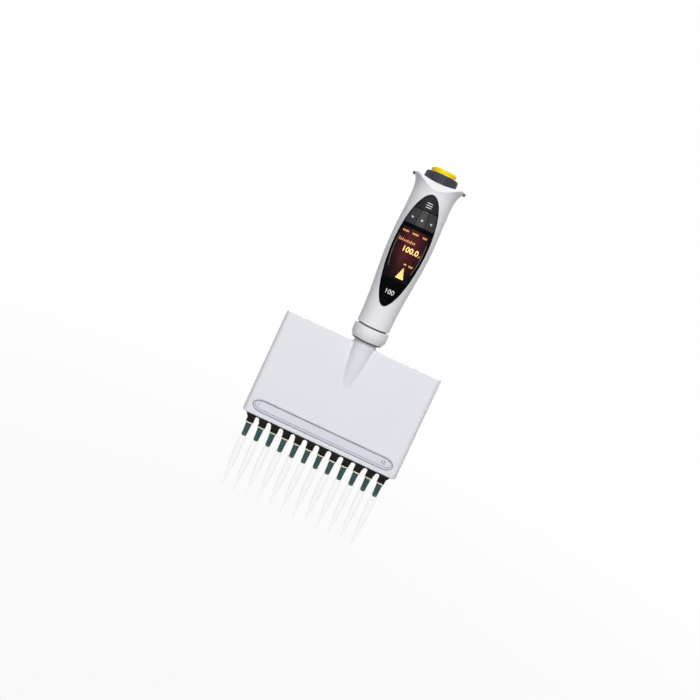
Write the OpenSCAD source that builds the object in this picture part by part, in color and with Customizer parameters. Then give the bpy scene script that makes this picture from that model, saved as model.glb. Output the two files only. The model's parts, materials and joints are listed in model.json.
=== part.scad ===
// Twelve-channel electronic pipette: handle with display and keys, swivelling piston module,
// tip ejector and disposable tips.
// Frame: +Z up along the pipette, -Y towards the display, origin on the axis at the level where it hangs.

/* [Handle] */
// Length of the handle below the hanging level
handle_l = 98.3; // [94:0.1:110]
// Radius of the handle at its lower end
handle_low_r = 11.5; // [11.3:0.1:12.5]
// Radius of the grip at its widest
grip_r = 14.9; // [14.6:0.1:16.5]
// Depth of the widest part of the grip below the hanging level
grip_depth = 38; // [36:1:42]
// Radius of the waist under the ears
waist_r = 14.1; // [13.8:0.1:14.4]
// Depth of the waist below the hanging level
waist_depth = 8; // [7:0.5:9]
// Reach of each ear from the axis
ear_reach = 17; // [16.5:0.1:19]
// Height of the ears above the hanging level
ear_h = 5; // [4.6:0.1:5.6]
// Height of the dial's seat above the hanging level
seat_h = 3.1; // [2.8:0.1:3.4]
// Wall of the handle shells
shell_wall = 1.8; // [1.6:0.1:2]
// Radius of each charging contact
contact_r = 1.1; // [0.9:0.1:1.2]
// Length of each charging contact outside its ear
contact_l = 1.7; // [1:0.1:2.5]

/* [Fascia and keys] */
// Half width of the fascia at its widest
fascia_half_w = 11.7; // [11:0.1:12.2]
// Share of the fascia's length that lies above its widest point
fascia_up_share = 0.45; // [0.42:0.01:0.48]
// How far the keys stand out of the fascia
key_rise = 0.4; // [0.2:0.1:0.8]
// Travel of each key
key_travel = 0.5; // [0.3:0.1:0.8]
// Half width of the middle key at its top
middle_key_top = 2.85; // [2.5:0.05:3.5]
// Half width of the middle key at its bottom
middle_key_low = 3.95; // [3.5:0.05:4.2]

/* [Dial and start button] */
// Radius of the dial at its lower edge
dial_r = 11.4; // [11:0.05:11.6]
// Height of the dial
dial_h = 6.1; // [5.5:0.1:7]
// Number of finger grooves around the dial
dial_grooves = 30; // [12:1:40]
// Radius of the start button
button_r = 8.5; // [7.8:0.1:8.6]
// Height of the start button above the dial
button_rise = 3.3; // [2.8:0.1:4]
// Travel of the start button
button_travel = 2; // [1.5:0.1:2.4]

/* [Piston module] */
// Number of channels
channels = 12; // [8:1:12]
// Width of the housing, which leaves 9 mm between channels
housing_w = 113.5; // [112.5:0.5:120]
// Height of the housing
housing_h = 73.1; // [72:0.1:80]
// Depth of the housing at its top
housing_top_d = 7; // [6.6:0.1:9]
// Depth of the housing at its bottom
housing_low_d = 24.2; // [23.6:0.1:27]
// Wall of the housing halves
housing_wall = 1.8; // [1.6:0.1:1.9]
// Radius of the neck at its top
neck_r = 8.2; // [8:0.1:8.4]
// Radius of the neck where its fairing runs out in the housing's front
fairing_low_r = 7.2; // [7:0.1:7.4]
// Height of the swivel collar
collar_h = 9.3; // [8.8:0.1:10]
// Radius of the swivel collar
collar_r = 12.2; // [11.8:0.1:13]
// Stroke of the pistons
piston_stroke = 12.5; // [11:0.1:12.8]
// Radius of each piston
piston_r = 1.75; // [1.5:0.05:1.8]
// Distance from the label strip's ends to the housing's sides
strip_inset = 5.45; // [5:0.05:9]
// Height of the label strip
strip_h = 7.6; // [7:0.1:9]

/* [Tips and ejector] */
// Length of each tip
tip_l = 50; // [46:0.5:60]
// Radius of each tip's rim
tip_rim_r = 2.85; // [2.8:0.05:3]
// Radius of each tip cone at the tip's rim
cone_r = 2.2; // [2.1:0.05:2.25]
// Length of each tip cone inside its tip
cone_l = 10.9; // [9:0.1:12]
// Length of each ejector collar with the bar it hangs from
collar_drop = 8.3; // [8.2:0.1:10]
// Travel of the ejector
ejector_travel = 5.5; // [4:0.1:6]

/* [Hidden] */

$fn = 96;
fit = 0.06;
gap = 0.15;
free = 0.3;
far = 200;

// Levels down the axis
grip_z = -grip_depth;
waist_z = -waist_depth;
handle_low_z = -handle_l;
low_straight = 4.3;
low_blend_z = handle_low_z + low_straight;
collar_gap = 1.2;
collar_top_z = handle_low_z - collar_gap;
collar_low_z = collar_top_z - collar_h;
neck_show = 3.7;
housing_top_z = collar_low_z - neck_show;
housing_low_z = housing_top_z - housing_h;
rim_z = housing_low_z - collar_drop - 0.1;
tip_end_z = rim_z - tip_l;

// Handle form: a straight foot, a swelling grip, a waist and a flare that ends in the ears
flare_power = 2.45;
flare_z = ear_h - 1.5;
handle_top_z = ear_h + 1;
foot_steps = 22;
grip_steps = 12;
flare_steps = 12;
function ease(t) = (1 - cos(180 * t)) / 2;
function handle_r(z) =
    z <= low_blend_z ? handle_low_r :
    z <= grip_z ? handle_low_r + (grip_r - handle_low_r) * ease((z - low_blend_z) / (grip_z - low_blend_z)) :
    z <= waist_z ? grip_r + (waist_r - grip_r) * ease((z - grip_z) / (waist_z - grip_z)) :
    z <= flare_z ? waist_r + (ear_reach - waist_r) * pow((z - waist_z) / (flare_z - waist_z), flare_power) :
    ear_reach;
function spread(from, to, count) = [for (i = [0:count - 1]) from + (to - from) * i / count];
handle_levels = concat(
    [handle_low_z],
    spread(low_blend_z, grip_z, foot_steps),
    spread(grip_z, waist_z, grip_steps),
    spread(waist_z, flare_z, flare_steps),
    [flare_z, handle_top_z]
);
function levels_between(low, high) =
    concat([low], [for (z = handle_levels) if (z > low + 0.2 && z < high - 0.2) z], [high]);
function turned_back(list) = [for (i = [len(list) - 1:-1:0]) list[i]];
cavity_top_z = -3.5;
dish_r = dial_r + 0.2;
lip_start_y = 7.3;
lip_fall = 0.126;
lip_steps = 8;
contact_z = ear_h - 1.1;
ear_end_x = ear_reach - 0.05;
contact_root = 3;
contact_root_r = contact_r - 0.25;

// Fascia outline, a superellipse with a blunter top than bottom
fascia_top_z = -5;
fascia_back_y = -4;
fascia_foot = 15.5;
fascia_l = handle_l + fascia_top_z - fascia_foot;
fascia_up = fascia_l * fascia_up_share;
fascia_down = fascia_l - fascia_up;
fascia_mid_z = fascia_top_z - fascia_up;
fascia_top_power = 2;
fascia_low_power = 1.85;
fascia_points = 72;
function rounded(c, power) = sign(c) * pow(abs(c), 2 / power);
function fascia_outline(inset) = [
    for (i = [0:fascia_points - 1])
        let (a = 360 * (i + 0.5) / fascia_points, power = a < 180 ? fascia_top_power : fascia_low_power)
        let (reach = a < 180 ? fascia_up : fascia_down)
        [(fascia_half_w - inset) * rounded(cos(a), power), fascia_mid_z + (reach - inset) * rounded(sin(a), power)]
];
bezel_proud = 0.15;
bezel_lip = 1;
bezel_lip_t = 0.9;
window_rim = 1.4;
key_rim = 0.7;
key_gap = 0.4;
keys_low_share = 0.371;
key_split_share = 0.68;
keys_low_z = fascia_mid_z + fascia_up * keys_low_share;
key_split_z = fascia_mid_z + fascia_up * key_split_share;
key_window_gap = 2.8;
window_top_z = keys_low_z - key_window_gap;
mat_drop = 5;
board_drop = 4;

// Display, keys and board stacked behind the fascia
display_face_y = -8.6;
board_face_y = -6.4;
board_t = 1.2;
board_half_w = 9.2;
display_half_w = 8.8;
mat_t = 2;
stem_r = 1.5;
stem_end_y = board_face_y - mat_t - key_travel - 0.1;
mat_half_w = 7.6;
battery_w = 16.6;
battery_h = handle_l * 0.34;
battery_front_y = 1.2;
battery_back_y = 8.4;
battery_top_z = -12;

// Dial, button and what works them
dial_low_z = seat_h + 0.2;
dial_top_z = dial_low_z + dial_h;
dial_top_r = dial_r - 0.3;
dial_round = 1.3;
groove_r = 0.8;
groove_depth = 0.3;
skirt_r = 9.6;
skirt_bore_r = button_r + 0.7;
dial_bore_r = button_r + fit;
skirt_low_z = cavity_top_z + 0.2;
button_low_z = dial_low_z - 2.5;
button_top_z = dial_top_z + button_rise;
button_round = 1.3;
button_flange_r = button_r + 0.4;
button_hollow_r = 6.6;
button_crown_t = 2.6;
button_flange_t = 1.4;
step_z = button_low_z + button_flange_t + button_travel;
encoder_t = 3;
encoder_low_z = cavity_top_z - encoder_t;
stem_rod_r = 1.8;
stem_low_z = encoder_low_z + button_travel + 0.3;
switch_w = 6;
switch_h = 3.2;
spring_wire = 0.35;
spring_r = 3.6;
spring_turns = 5;
spring_low_z = cavity_top_z + 0.05;
spring_top_z = button_top_z - button_crown_t - 0.05;

// Motor, screw and swivel
bush_r = handle_low_r - shell_wall - fit;
bush_inside = 9.3;
bush_outside = 3.8;
bush_top_z = handle_low_z + bush_inside;
bush_low_z = collar_top_z - bush_outside;
motor_r = 8.6;
motor_h = handle_l * 0.2035;
motor_top_z = bush_top_z + motor_h;
motor_boss_r = 4;
motor_boss_h = 1.5;
screw_r = 2;
screw_head_r = 3.2;
screw_head_h = 2;
screw_tail = 3;
spigot_r = 6.5;
spigot_bore_r = 2.6;
spigot_flange_r = bush_r - 0.2;
lip_bore_r = neck_r + free;
lip_h = 2.4;
collar_chamfer = 1.3;
neck_top_z = collar_low_z + 2.2;
flange_low_z = collar_low_z + lip_h + 0.1;
flange_top_z = bush_low_z - 0.2;

// Handle screws, below the board and above the motor
handle_screw_x = handle_low_r - 2.1;
handle_screw_z = motor_top_z + 2.3;
handle_boss_r = 1.8;
handle_boss_front_y = -3.7;
handle_screw_r = 0.9;
handle_head_r = 1.6;
handle_head_t = 1.3;
handle_head_y = 6.4;
handle_screw_end_y = -3.2;
window_low_z = handle_screw_z + handle_boss_r + 0.7;
window_h = window_top_z - window_low_z;
board_low_z = window_low_z - 0.3;

// Housing: a wedge that is thin at the neck and deep at the tips
edge_r = 4;
top_edge_r = housing_top_d / 2 - 0.2;
rim_round = 1.2;
function half_depth(z) =
    housing_top_d / 2 + (housing_low_d - housing_top_d) / 2 * (housing_top_z - z) / housing_h;
face_tilt = atan((housing_low_d - housing_top_d) / 2 / housing_h);
fairing_share = 0.4323;
fairing_low_z = housing_top_z - housing_h * fairing_share;
inner_half_w = housing_w / 2 - housing_wall;
strip_l = housing_w - 2 * strip_inset;
strip_rise = 7.5;
strip_z = housing_low_z + strip_rise;
strip_t = 0.8;
strip_end = 7;
strip_groove = 0.4;
strip_step = 0.9;
strip_step_t = 0.3;
strip_points = 12;

// Piston stack, upwards from the housing's floor
plate_t = 4;
cone_flange_t = 1;
cone_flange_r = 3.4;
cone_shank_r = 2.85;
block_h = 22;
retainer_t = 4.5;
seal_t = 2;
end_margin = 7.25;
pitch = (housing_w - 2 * end_margin) / (channels - 1);
seal_r = pitch * 0.31;
blowout = 1.5;
plate_margin = 3;
piston_plate_t = 5;
hub_h = 6;
hub_r = 5;
plate_top_z = housing_low_z + plate_t;
block_low_z = plate_top_z + cone_flange_t;
block_top_z = block_low_z + block_h;
retainer_top_z = block_top_z + retainer_t;
carriage_low_z = retainer_top_z + blowout + plate_margin;
carriage_top_z = carriage_low_z + piston_plate_t;
hub_top_z = carriage_top_z + hub_h;
spigot_low_z = hub_top_z + piston_stroke + 1.5;
hub_space_r = hub_r + 0.6;
bore_r = piston_r + 0.1;
piston_low_z = block_low_z + 4;
row_half = (channels - 1) / 2 * pitch;
block_half_w = row_half + bore_r + 1.2;
block_half_d = half_depth(block_top_z) - housing_wall - 0.25;
carriage_half_d = half_depth(carriage_top_z + piston_stroke) - housing_wall - 0.35;
carriage_half_w = row_half + piston_r + 0.6;
retainer_half_d = seal_r + 0.6;
retainer_half_w = row_half + seal_r + 0.4;
guide_r = pitch / 6;
guide_x = 3 * pitch;
guide_low_z = block_top_z - 6;
guide_top_z = carriage_top_z + piston_stroke + 4;
function channel_x(i) = (i - (channels - 1) / 2) * pitch;

// Cones, ejector and tips
cone_end_r = 1.75;
cone_bore_r = 0.6;
cone_end_z = rim_z - cone_l;
collar_in_r = cone_r + 0.1;
collar_out_r = tip_rim_r - 0.1;
bar_top_z = housing_low_z - 0.1;
bar_t = 4.4;
bar_half_w = row_half + 4.8;
bar_half_d = 6.8;
bar_web = 1.9;
arch_r = pitch / 2 - collar_out_r - 0.02;
arch_z = bar_top_z - bar_web - arch_r;
rod_r = 1.2;
rod_x = row_half - pitch / 2;
rod_y = 4;
rod_head_r = 2.1;
rod_head_t = 1.4;
rod_top_z = retainer_top_z + 1.2;
pocket_r = 2.4;
pocket_h = 9;
ejector_wire = 0.3;
ejector_coil_r = 1.75;
ejector_turns = 5;
tip_wall = 0.45;
tip_bore_end_r = 0.25;
tip_rim_h = 0.8;
tip_seat = 0.05;
tip_ribs = 8;
rib_l = 9;
rib_w = 0.35;
rib_rise = 0.2;

// Housing screws: an upper pair through both halves and a lower pair into the cone plate's edge
upper_screw_x = 34;
upper_screw_z = housing_top_z - 7;
lower_screw_x = 4 * pitch;
lower_screw_z = housing_low_z + plate_t / 2;
screw_shank_r = 1;
screw_cap_r = 1.8;
screw_cap_t = 1.3;
upper_boss_r = 2.2;

function tip_name(i) = str("tip_", i < 10 ? "0" : "", i);

module front_prism(outline, front_y, back_y) {
    translate([0, back_y, 0]) rotate([90, 0, 0]) linear_extrude(back_y - front_y) polygon(outline);
}

module side_prism(outline, half_w) {
    rotate([90, 0, 90]) linear_extrude(2 * half_w, center = true) polygon(outline);
}

module cross_rod(x, z, r, from_y, to_y) {
    translate([x, from_y, z]) rotate([-90, 0, 0]) cylinder(r = r, h = to_y - from_y);
}

module front_half() {
    translate([-far, -2 * far, -2 * far]) cube([2 * far, 2 * far, 4 * far]);
}

module rear_half() {
    translate([-far, 0, -2 * far]) cube([2 * far, 2 * far, 4 * far]);
}

// The handle's own turned form between two levels, grown outwards by a margin
module handle_turned(low, high, grow) {
    levels = levels_between(low, high);
    sides = [for (z = levels) [handle_r(z) + grow, z]];
    rotate_extrude() polygon(concat([[0, low]], sides, [[0, high]]));
}

// A skin of the handle's form, from out beyond its surface to depth inside it
module handle_skin(low, high, out, depth) {
    levels = levels_between(low, high);
    outer = [for (z = levels) [handle_r(z) + out, z]];
    inner = [for (z = turned_back(levels)) [handle_r(z) - depth, z]];
    rotate_extrude() polygon(concat(outer, inner));
}

// Everything under the handle's top: level between the ears, falling in a curve to the front and back lips
module lip_cut() {
    reach_y = ear_reach + 2;
    fall = [for (i = [0:lip_steps])
        let (y = lip_start_y + (reach_y - lip_start_y) * i / lip_steps)
        [y, ear_h - lip_fall * pow(y - lip_start_y, 2)]];
    back = [for (point = turned_back(fall)) [-point[0], point[1]]];
    side_prism(concat([[-reach_y, handle_low_z - 1]], back, fall, [[reach_y, handle_low_z - 1]]), far);
}

// Shallow dish around the dial that rises towards the ears
module dial_dish() {
    rise = ear_h - seat_h + 0.2;
    rotate_extrude() polygon([[0, seat_h], [dish_r, seat_h], [ear_reach + 0.5, seat_h + rise],
        [ear_reach + 0.5, far], [0, far]]);
}

module handle_screw_place() {
    for (side = [-1, 1]) translate([side * handle_screw_x, 0, 0]) children();
}

module handle_body() {
    difference() {
        intersection() {
            handle_turned(handle_low_z, handle_top_z, 0);
            lip_cut();
        }
        dial_dish();
        difference() {
            handle_turned(handle_low_z - 1, cavity_top_z, -shell_wall);
            handle_screw_place() cross_rod(0, handle_screw_z, handle_boss_r, handle_boss_front_y, far);
        }
        cylinder(r = skirt_r + fit, h = 4 * far, center = true);
        for (side = [-1, 1])
            translate([side * (ear_end_x - contact_root), 0, contact_z]) rotate([0, side * 90, 0])
                cylinder(r = contact_root_r + 0.02, h = contact_root + 1);
        for (side = [-1, 1])
            translate([side * ear_end_x, 0, contact_z]) rotate([0, side * 90, 0])
                cylinder(r = contact_r + fit, h = 1);
        handle_screw_place() cross_rod(0, handle_screw_z, handle_screw_r + 0.02, handle_screw_end_y - 0.2, far);
        handle_screw_place() cross_rod(0, handle_screw_z, handle_head_r + gap, handle_head_y, far);
    }
}

module handle_front_shell() {
    color("whitesmoke") difference() {
        intersection() {
            handle_body();
            front_half();
        }
        front_prism(fascia_outline(0), -far, fascia_back_y);
    }
}

module handle_rear_shell() {
    color("whitesmoke") intersection() {
        handle_body();
        rear_half();
    }
}

module band(low, high) {
    translate([-far, -far, low]) cube([2 * far, 2 * far, high - low]);
}

module window_outline(grow) {
    intersection() {
        front_prism(fascia_outline(window_rim - grow), -far, fascia_back_y);
        band(window_low_z - grow, window_top_z + grow);
    }
}

module key_opening() {
    intersection() {
        front_prism(fascia_outline(key_rim), -far, fascia_back_y);
        band(keys_low_z, fascia_top_z);
    }
}

module fascia_bezel() {
    fascia_low_z = fascia_mid_z - fascia_down;
    color("#17161a") difference() {
        union() {
            intersection() {
                handle_skin(fascia_low_z - 2, fascia_top_z + 1.4, bezel_proud, shell_wall + bezel_lip_t);
                front_prism(fascia_outline(gap), -far, fascia_back_y);
            }
            intersection() {
                handle_skin(fascia_low_z - 2, cavity_top_z - gap, -shell_wall - gap, shell_wall + bezel_lip_t);
                front_prism(fascia_outline(-bezel_lip), -far, fascia_back_y);
            }
        }
        window_outline(gap);
        key_opening();
    }
}

module display_window() {
    color("#2a1218") intersection() {
        handle_skin(window_low_z, window_top_z, bezel_proud / 2, shell_wall);
        window_outline(0);
    }
}

// The room behind the fascia
module fascia_room() {
    handle_turned(board_low_z - 1, cavity_top_z, -shell_wall - bezel_lip_t - gap);
}

module display_module() {
    color("#20242a") intersection() {
        translate([-display_half_w, display_face_y, window_low_z])
            cube([2 * display_half_w, board_face_y - display_face_y, window_h]);
        fascia_room();
    }
}

module main_board() {
    color("#1c5a38") intersection() {
        translate([-board_half_w, board_face_y, board_low_z])
            cube([2 * board_half_w, board_t, fascia_top_z - board_drop - board_low_z]);
        fascia_room();
    }
}

module key_mat() {
    color("#6a6a70")
        translate([-mat_half_w, board_face_y - mat_t, keys_low_z])
            cube([2 * mat_half_w, mat_t, fascia_top_z - mat_drop - keys_low_z]);
}

// One key: a patch of the handle's form inside the given outline, with a stem that reaches the key mat
module key_cap(outline, stem_x, stem_z) {
    intersection() {
        union() {
            handle_skin(keys_low_z - 1, fascia_top_z + 1, bezel_proud + key_rise, shell_wall);
            cross_rod(stem_x, stem_z, stem_r, 1 - handle_r(stem_z), stem_end_y);
        }
        front_prism(fascia_outline(key_rim + gap), -far, fascia_back_y);
        front_prism(outline, -far, far);
    }
}

soft_low_z = keys_low_z + gap;
soft_top_z = key_split_z - key_gap / 2;
soft_mid_z = (keys_low_z + key_split_z) / 2;
soft_stem_x = (middle_key_top + middle_key_low) / 2 + 2.6;

module tip_eject_key() {
    low_z = key_split_z + key_gap / 2;
    color("#1e1d22") key_cap([[-far, low_z], [far, low_z], [far, far], [-far, far]], 0, key_split_z + 4);
}

module left_key() {
    color("#2a2a2e") key_cap([[-far, soft_low_z], [-middle_key_low - key_gap / 2, soft_low_z],
        [-middle_key_top - key_gap / 2, soft_top_z], [-far, soft_top_z]], -soft_stem_x, soft_mid_z);
}

module middle_key() {
    low_x = middle_key_low - key_gap / 2;
    top_x = middle_key_top - key_gap / 2;
    color("#2a2a2e") key_cap([[-low_x, soft_low_z], [low_x, soft_low_z], [top_x, soft_top_z], [-top_x, soft_top_z]],
        0, soft_mid_z);
}

module right_key() {
    color("#2a2a2e") mirror([1, 0, 0]) key_cap([[-far, soft_low_z], [-middle_key_low - key_gap / 2, soft_low_z],
        [-middle_key_top - key_gap / 2, soft_top_z], [-far, soft_top_z]], -soft_stem_x, soft_mid_z);
}

module battery() {
    color("#3b5f8a")
        translate([-battery_w / 2, battery_front_y, battery_top_z - battery_h])
            cube([battery_w, battery_back_y - battery_front_y, battery_h]);
}

// A pair of round-nosed studs, one in each ear
module charging_contacts() {
    nose = 0.5;
    color("#a8673a") for (side = [-1, 1])
        translate([side * (ear_end_x - contact_root), 0, contact_z]) rotate([0, side * 90, 0]) rotate_extrude() {
            square([contact_root_r, contact_root + 0.5]);
            translate([0, contact_root]) square([contact_r, contact_l - nose]);
            translate([0, contact_root + contact_l - nose]) square([contact_r - nose, nose]);
            translate([contact_r - nose, contact_root + contact_l - nose]) intersection() {
                circle(r = nose);
                square(nose);
            }
        }
}

module dial_turned() {
    rotate_extrude() {
        difference() {
            polygon([[dial_bore_r, dial_low_z], [dial_r, dial_low_z], [dial_top_r, dial_top_z - dial_round],
                [dial_top_r - dial_round, dial_top_z], [dial_bore_r, dial_top_z]]);
            translate([0, dial_low_z - 1]) square([skirt_bore_r, step_z - dial_low_z + 1]);
        }
        translate([dial_top_r - dial_round, dial_top_z - dial_round]) intersection() {
            circle(r = dial_round);
            square(dial_round);
        }
        translate([skirt_bore_r, skirt_low_z]) square([skirt_r - skirt_bore_r, dial_low_z - skirt_low_z + 1]);
    }
}

// The dial with finger grooves in its side, between a plain lower edge and the rounded top
module control_dial() {
    color("#3d3b48") difference() {
        dial_turned();
        for (i = [0:dial_grooves - 1]) rotate([0, 0, 360 * (i + 0.5) / dial_grooves])
            translate([dial_top_r + groove_r - groove_depth, 0, dial_low_z + 1]) cylinder(r = groove_r, h = dial_h, $fn = 24);
    }
}

module dial_encoder() {
    encoder_r = handle_r(encoder_low_z) - shell_wall - gap;
    color("#44474d") translate([0, 0, encoder_low_z]) difference() {
        cylinder(r = encoder_r, h = encoder_t);
        translate([0, 0, -1]) cylinder(r = stem_rod_r + fit, h = encoder_t + 2);
        translate([-far, board_face_y - far + board_t + gap, -1]) cube([2 * far, far, encoder_t + 2]);
    }
}

module start_button() {
    crown_z = button_top_z - button_crown_t;
    color("#ffdf05") rotate_extrude() {
        difference() {
            union() {
                translate([0, button_low_z]) square([button_r - button_round, button_top_z - button_low_z]);
                translate([0, button_low_z]) square([button_r, button_top_z - button_round - button_low_z]);
                translate([button_r - button_round, button_top_z - button_round]) intersection() {
                    circle(r = button_round);
                    square(button_round);
                }
            }
            translate([0, button_low_z - 1]) square([button_hollow_r, crown_z - button_low_z + 1]);
        }
        translate([button_hollow_r, button_low_z]) square([button_flange_r - button_hollow_r, button_flange_t]);
        translate([0, stem_low_z]) square([stem_rod_r, crown_z - stem_low_z + 1]);
    }
}

module start_switch() {
    color("#2b2b2b") translate([-switch_w / 2, -switch_w / 2 + 0.9, encoder_low_z - switch_h])
        cube([switch_w, switch_w, switch_h]);
}

// Coil spring swept as one tube: centres along a helix, with a hexagon about each
rings_per_turn = 8;
wire_sides = 6;
function coil_centre(i, r, turns, h) =
    let (a = 360 * i / rings_per_turn)
    [r * cos(a), r * sin(a), h * i / (turns * rings_per_turn)];
function coil_ring(i, r, wire, turns, h) =
    let (a = 360 * i / rings_per_turn, c = coil_centre(i, r, turns, h))
    [for (k = [0:wire_sides - 1])
        let (b = 360 * k / wire_sides)
        c + wire * [cos(b) * cos(a), cos(b) * sin(a), sin(b)]];
function coil_gap(r, wire, turns, h) =
    let (count = turns * rings_per_turn)
    min([for (i = [0:count], j = [0:count])
        if (j - i > rings_per_turn / 2) norm(coil_centre(i, r, turns, h) - coil_centre(j, r, turns, h))]) - 2 * wire;
module coil(r, wire, turns, low, high) {
    h = high - low - 2 * wire;
    count = turns * rings_per_turn;
    rings = [for (i = [0:count]) coil_ring(i, r, wire, turns, h)];
    points = [for (ring = rings, p = ring) p];
    sides = [for (i = [0:count - 1], k = [0:wire_sides - 1], half = [0, 1])
        let (a = i * wire_sides + k, b = i * wire_sides + (k + 1) % wire_sides)
        half == 0 ? [a, b, b + wire_sides] : [a, b + wire_sides, a + wire_sides]];
    start_cap = [for (k = [1:wire_sides - 2]) [0, k + 1, k]];
    last = count * wire_sides;
    end_cap = [for (k = [1:wire_sides - 2]) [last, last + k, last + k + 1]];
    echo(least_coil_gap = coil_gap(r, wire, turns, h));
    translate([0, 0, low + wire]) polyhedron(points, concat(sides, start_cap, end_cap));
}

module button_spring() {
    color("silver") coil(spring_r, spring_wire, spring_turns, spring_low_z, spring_top_z);
}

module motor() {
    color("#8d9096") difference() {
        union() {
            translate([0, 0, bush_top_z]) cylinder(r = motor_r, h = motor_h);
            translate([0, 0, bush_top_z]) cylinder(r = motor_boss_r, h = motor_h + motor_boss_h);
        }
        translate([0, 0, bush_top_z - 1]) cylinder(r = screw_r + fit, h = motor_h + motor_boss_h + 2);
    }
}

// The motor's screw, with a round head held in the piston plate's hub
module drive_screw() {
    head_low_z = carriage_top_z + gap;
    color("#b9bcc2") {
        translate([0, 0, head_low_z]) cylinder(r = screw_head_r, h = screw_head_h);
        translate([0, 0, head_low_z])
            cylinder(r = screw_r, h = motor_top_z + motor_boss_h + screw_tail - head_low_z);
    }
}

module swivel_bush() {
    color("#4a4a50") translate([0, 0, bush_low_z]) difference() {
        cylinder(r = bush_r, h = bush_top_z - bush_low_z);
        translate([0, 0, -1]) cylinder(r = spigot_r + fit, h = bush_top_z - bush_low_z - 1);
        translate([0, 0, -1]) cylinder(r = spigot_bore_r, h = far);
    }
}

module swivel_collar() {
    color("whitesmoke") rotate_extrude() difference() {
        polygon([[0, collar_low_z], [collar_r - collar_chamfer, collar_low_z],
            [collar_r, collar_low_z + 2 * collar_chamfer], [collar_r, collar_top_z], [0, collar_top_z]]);
        translate([0, collar_low_z - 1]) square([lip_bore_r, collar_h + 2]);
        translate([0, collar_low_z + lip_h]) square([bush_r + fit, collar_h]);
    }
}

module handle_screws() {
    color("#7c7f84") handle_screw_place() {
        cross_rod(0, handle_screw_z, handle_screw_r, handle_screw_end_y, handle_head_y);
        cross_rod(0, handle_screw_z, handle_head_r, handle_head_y, handle_head_y + handle_head_t);
    }
}

// Stands on the housing's front face, with Z out of the face and Y up along it
module on_front_face(z) {
    translate([0, -half_depth(z), z]) rotate([90 - face_tilt, 0, 0]) children();
}

module strip_shape(grow) {
    straight = strip_l / 2 - strip_end;
    polygon([for (side = [1, -1], i = [0:strip_points])
        let (a = 180 * i / strip_points - 90)
        [side * (straight + (strip_end + grow) * cos(a)), side * (strip_h / 2 + grow) * sin(a)]]);
}

module edge_puck(r) {
    rotate_extrude($fn = 32) {
        square([r - rim_round, 2 * rim_round]);
        translate([r - rim_round, rim_round]) circle(r = rim_round, $fn = 16);
    }
}

module housing_form() {
    hull() for (side = [-1, 1], face = [-1, 1]) {
        translate([side * (housing_w / 2 - edge_r), face * (housing_low_d / 2 - edge_r), housing_low_z])
            edge_puck(edge_r);
        translate([side * (housing_w / 2 - top_edge_r), face * (housing_top_d / 2 - top_edge_r),
            housing_top_z - 2 * rim_round]) edge_puck(top_edge_r);
    }
}

module housing_cavity() {
    top_z = housing_top_z - housing_wall;
    low_z = housing_low_z - 1;
    top_y = half_depth(top_z) - housing_wall;
    low_y = half_depth(low_z) - housing_wall;
    side_prism([[-low_y, low_z], [low_y, low_z], [top_y, top_z], [-top_y, top_z]], inner_half_w);
}

module housing_body() {
    fairing_h = neck_top_z - fairing_low_z;
    difference() {
        union() {
            housing_form();
            translate([0, 0, fairing_low_z]) cylinder(r1 = fairing_low_r, r2 = neck_r, h = fairing_h);
        }
        difference() {
            housing_cavity();
            for (side = [-1, 1]) cross_rod(side * upper_screw_x, upper_screw_z, upper_boss_r, -far, far);
        }
        translate([0, 0, spigot_low_z]) cylinder(r = spigot_r + fit, h = far);
        translate([0, 0, carriage_low_z - blowout - gap]) cylinder(r = hub_space_r, h = spigot_low_z - carriage_low_z + 3);
    }
}

module upper_screw_places() {
    for (side = [-1, 1]) translate([side * upper_screw_x, 0, upper_screw_z]) children();
}

module lower_screw_places() {
    for (side = [-1, 1]) translate([side * lower_screw_x, 0, lower_screw_z]) children();
}

upper_cap_y = half_depth(upper_screw_z) - 1.7;
lower_cap_y = half_depth(lower_screw_z) - housing_wall + 0.2;

module front_housing() {
    color("#eceef2") difference() {
        intersection() {
            housing_body();
            front_half();
        }
        on_front_face(strip_z) {
            translate([0, 0, -strip_t]) linear_extrude(far) strip_shape(strip_groove);
            translate([0, 0, -strip_step_t]) linear_extrude(far) strip_shape(strip_step);
        }
        upper_screw_places() cross_rod(0, 0, screw_shank_r + 0.02, -upper_cap_y, 1);
    }
}

module rear_housing() {
    color("#eceef2") difference() {
        intersection() {
            housing_body();
            rear_half();
        }
        upper_screw_places() {
            cross_rod(0, 0, screw_shank_r + 0.02, -1, far);
            cross_rod(0, 0, screw_cap_r + gap, upper_cap_y, far);
        }
        lower_screw_places() {
            cross_rod(0, 0, screw_shank_r + 0.02, 0, far);
            cross_rod(0, 0, screw_cap_r + gap, lower_cap_y, far);
        }
    }
}

module label_strip() {
    color("#d5d8e0") on_front_face(strip_z) translate([0, 0, -strip_t]) linear_extrude(strip_t) strip_shape(0);
}

module swivel_spigot() {
    color("#55565c") difference() {
        union() {
            translate([0, 0, spigot_low_z]) cylinder(r = spigot_r, h = bush_top_z - 2.3 - spigot_low_z);
            translate([0, 0, flange_low_z]) cylinder(r = spigot_flange_r, h = flange_top_z - flange_low_z);
        }
        translate([0, 0, spigot_low_z - 1]) cylinder(r = spigot_bore_r, h = far);
    }
}

module housing_screws() {
    color("#7c7f84") {
        upper_screw_places() {
            cross_rod(0, 0, screw_shank_r, -upper_cap_y + 0.3, upper_cap_y);
            cross_rod(0, 0, screw_cap_r, upper_cap_y, upper_cap_y + screw_cap_t);
        }
        lower_screw_places() {
            cross_rod(0, 0, screw_shank_r, lower_cap_y - 6, lower_cap_y);
            cross_rod(0, 0, screw_cap_r, lower_cap_y, lower_cap_y + screw_cap_t);
        }
    }
}

module each_channel() {
    for (i = [0:channels - 1]) translate([channel_x(i), 0, 0]) children();
}

module ejector_rod_places() {
    for (x = [-rod_x, rod_x], y = [-rod_y, rod_y]) translate([x, y, 0]) children();
}

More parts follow.
